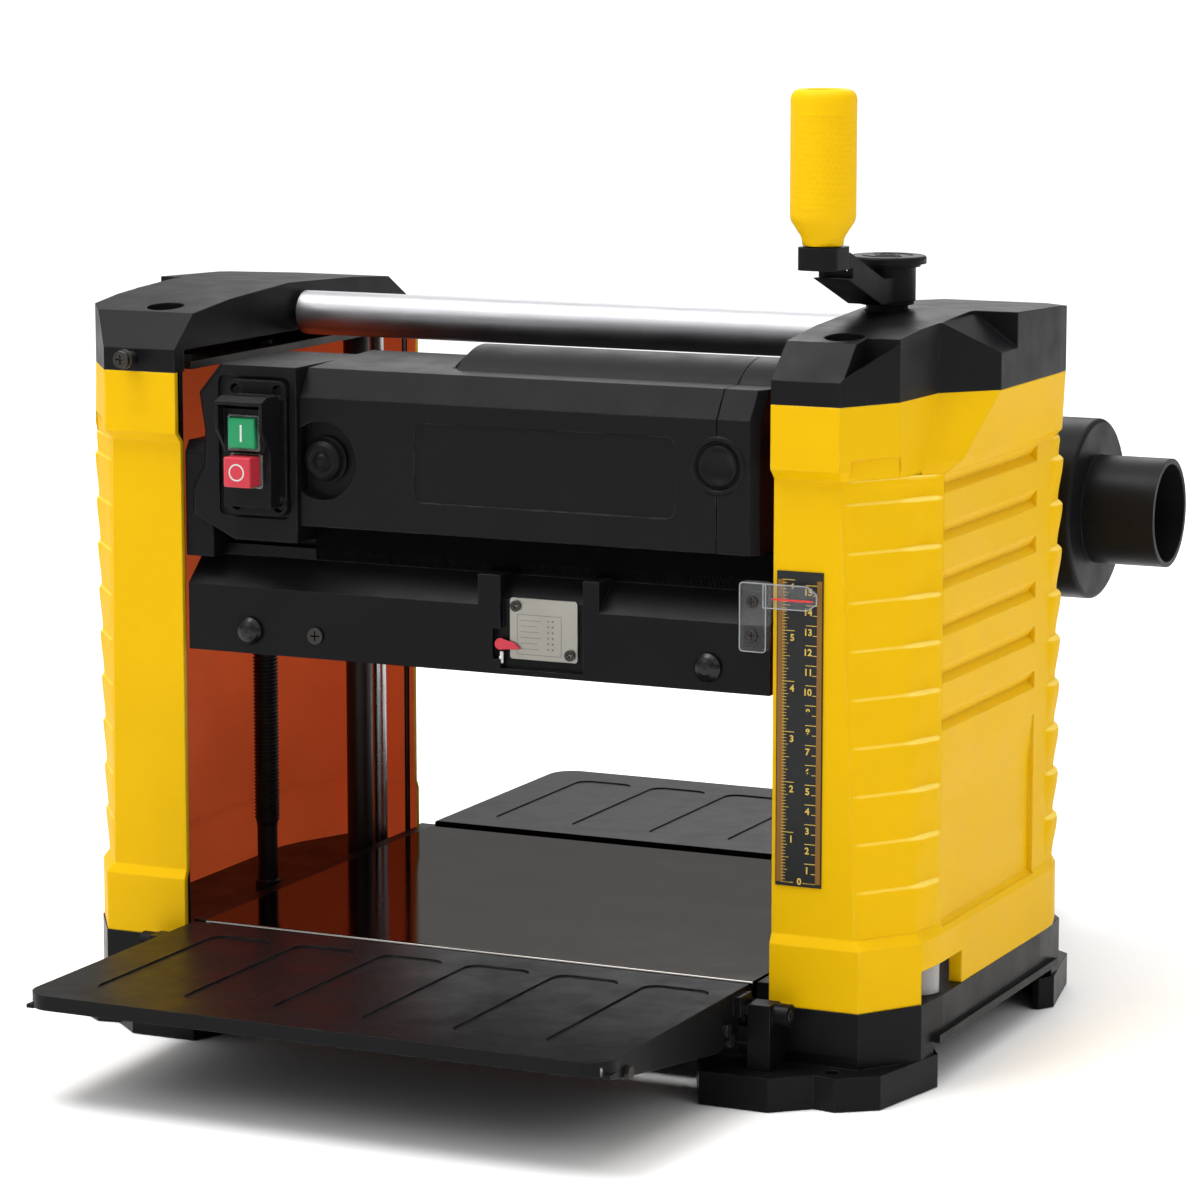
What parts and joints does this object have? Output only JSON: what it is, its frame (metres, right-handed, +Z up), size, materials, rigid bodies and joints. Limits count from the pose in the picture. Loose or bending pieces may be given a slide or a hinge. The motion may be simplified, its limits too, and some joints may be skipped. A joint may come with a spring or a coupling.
{
  "type": "thickness planer",
  "caption": "Bench thickness planer: crank-raised carriage with cutterhead and motor between two columns, folding infeed and outfeed tables, return roller and side dust port.",
  "frame": {"origin": "On the floor at the centre of the four foot bolt holes, midway between the columns and midway front to back.", "axes": "+Z up, +X towards the crank column and the dust port, -Y is the infeed side and +Y the outfeed side."},
  "size_m": [0.5242, 0.622, 0.5],
  "materials": {
    "yellow_shell": "satin moulded yellow",
    "black_plastic": "fine textured black",
    "black_metal": "black powder coat",
    "bed_steel": "polished dark sheet",
    "bright_steel": "ground steel",
    "dark_steel": "blackened steel",
    "roller_metal": "brushed",
    "alloy": "cast",
    "bronze": "plain bearing bronze",
    "rubber_black": "matte",
    "green_plastic": "gloss",
    "red_plastic": "gloss",
    "clear_plastic": "clear moulded plastic",
    "scale_print": "printed scale",
    "copper": "enamelled windings",
    "gauge_metal": "brushed plate"
  },
  "bodies": {
    "root": {"base_casting": "black_metal", "bed_plate": "bed_steel", "column_cover_right": "yellow_shell", "column_cover_left": "yellow_shell", "column_cap_right": "black_plastic", "column_cap_left": "black_plastic", "top_plates": "dark_steel", "frame_uprights": "black_metal", "guide_posts": "dark_steel", "steady_rods": "bright_steel", "hinge_brackets": "black_metal", "hinge_pins": "bright_steel", "scale_plate": "scale_print", "sync_chain": "dark_steel", "roller_axle": "bright_steel", "cap_screws": "dark_steel"},
    "carriage": {"carriage_frame": "black_metal", "screw_nuts": "bronze", "guide_bushes": "bronze", "ball_bearings": "bright_steel", "roller_bushes": "bronze", "feed_gearcase": "black_plastic", "motor_stator": "copper", "motor_cover": "black_plastic", "motor_end_cap": "black_plastic", "brush_cap": "black_plastic", "switch_housing": "black_plastic", "switch_box": "black_plastic", "gauge_plate": "gauge_metal", "scale_pointer": "clear_plastic", "beam_bumpers": "rubber_black", "beam_screws": "dark_steel", "dust_hood": "black_plastic", "hood_knobs": "black_plastic", "drive_belt": "rubber_black"},
    "cutterhead": {"cutterhead": "alloy", "knives": "bright_steel", "knife_clamps": "alloy", "cutterhead_pulley": "alloy"},
    "motor": {"motor_armature": "dark_steel", "motor_pulley": "alloy"},
    "infeed_roller": {"infeed_roller": "roller_metal"},
    "outfeed_roller": {"outfeed_roller": "roller_metal"},
    "crank": {"crank_arm": "black_plastic", "crank_cap": "black_plastic", "grip_axle": "bright_steel", "lead_screw_right": "dark_steel", "screw_sprocket_right": "dark_steel"},
    "grip": {"crank_grip": "yellow_shell"},
    "left_screw": {"lead_screw_left": "dark_steel", "screw_sprocket_left": "dark_steel"},
    "infeed_table": {"infeed_table": "black_metal", "infeed_stop_bolts": "dark_steel"},
    "outfeed_table": {"outfeed_table": "black_metal", "outfeed_stop_bolts": "dark_steel"},
    "start_button": {"start_button": "green_plastic"},
    "stop_button": {"stop_button": "red_plastic"},
    "turret": {"depth_stop_turret": "clear_plastic"},
    "gauge_pointer": {"gauge_pointer": "red_plastic"},
    "return_roller": {"return_roller": "roller_metal"}
  },
  "joints": [
    {"name": "crank_turn", "type": "hinge", "parent": "root", "child": "crank", "pos_m": [0.183, -0.02, 0.4], "axis": [0, 0, 1], "range_deg": [-25380, 1440]},
    {"name": "carriage_lift", "type": "slide", "parent": "root", "child": "carriage", "axis": [0, 0, 1], "range_m": [-0.141, 0.008]},
    {"name": "left_screw_turn", "type": "hinge", "parent": "root", "child": "left_screw", "pos_m": [-0.183, -0.02, 0.2], "axis": [0, 0, 1], "range_deg": [-25380, 1440]},
    {"name": "grip_spin", "type": "hinge", "parent": "crank", "child": "grip", "pos_m": [0.17777, -0.09482, 0.46], "axis": [0, 0, 1], "continuous": true},
    {"name": "cutterhead_spin", "type": "hinge", "parent": "carriage", "child": "cutterhead", "pos_m": [0, 0.03, 0.2235], "axis": [1, 0, 0], "continuous": true},
    {"name": "motor_spin", "type": "hinge", "parent": "carriage", "child": "motor", "pos_m": [0, -0.075, 0.319], "axis": [1, 0, 0], "continuous": true},
    {"name": "infeed_roller_spin", "type": "hinge", "parent": "carriage", "child": "infeed_roller", "pos_m": [0, -0.036, 0.212], "axis": [1, 0, 0], "continuous": true},
    {"name": "outfeed_roller_spin", "type": "hinge", "parent": "carriage", "child": "outfeed_roller", "pos_m": [0, 0.096, 0.212], "axis": [1, 0, 0], "continuous": true},
    {"name": "infeed_fold", "type": "hinge", "parent": "root", "child": "infeed_table", "pos_m": [0, -0.149, 0.0445], "axis": [-1, 0, 0], "range_deg": [0, 90]},
    {"name": "outfeed_fold", "type": "hinge", "parent": "root", "child": "outfeed_table", "pos_m": [0, 0.149, 0.0445], "axis": [1, 0, 0], "range_deg": [0, 90]},
    {"name": "start_press", "type": "slide", "parent": "carriage", "child": "start_button", "axis": [0, 1, 0], "range_m": [0, 0.003], "stiffness_N_per_m": 400},
    {"name": "stop_press", "type": "slide", "parent": "carriage", "child": "stop_button", "axis": [0, 1, 0], "range_m": [0, 0.003], "stiffness_N_per_m": 400},
    {"name": "stop_turret_turn", "type": "hinge", "parent": "root", "child": "turret", "pos_m": [0.226, -0.078, 0.053], "axis": [0, 0, 1], "continuous": true},
    {"name": "gauge_travel", "type": "slide", "parent": "carriage", "child": "gauge_pointer", "axis": [0, 0, 1], "range_m": [0, 0.003]},
    {"name": "return_roller_spin", "type": "hinge", "parent": "root", "child": "return_roller", "pos_m": [0, 0, 0.3683], "axis": [1, 0, 0], "continuous": true}
  ],
  "couplings": [
    {"joint": "crank_turn", "follows": "carriage_lift", "rad_per_m": 3141.6},
    {"joint": "left_screw_turn", "follows": "carriage_lift", "rad_per_m": 3141.6},
    {"joint": "motor_spin", "follows": "cutterhead_spin", "ratio": 1.1875},
    {"joint": "infeed_roller_spin", "follows": "cutterhead_spin", "ratio": -0.0125},
    {"joint": "outfeed_roller_spin", "follows": "cutterhead_spin", "ratio": -0.0125}
  ]
}
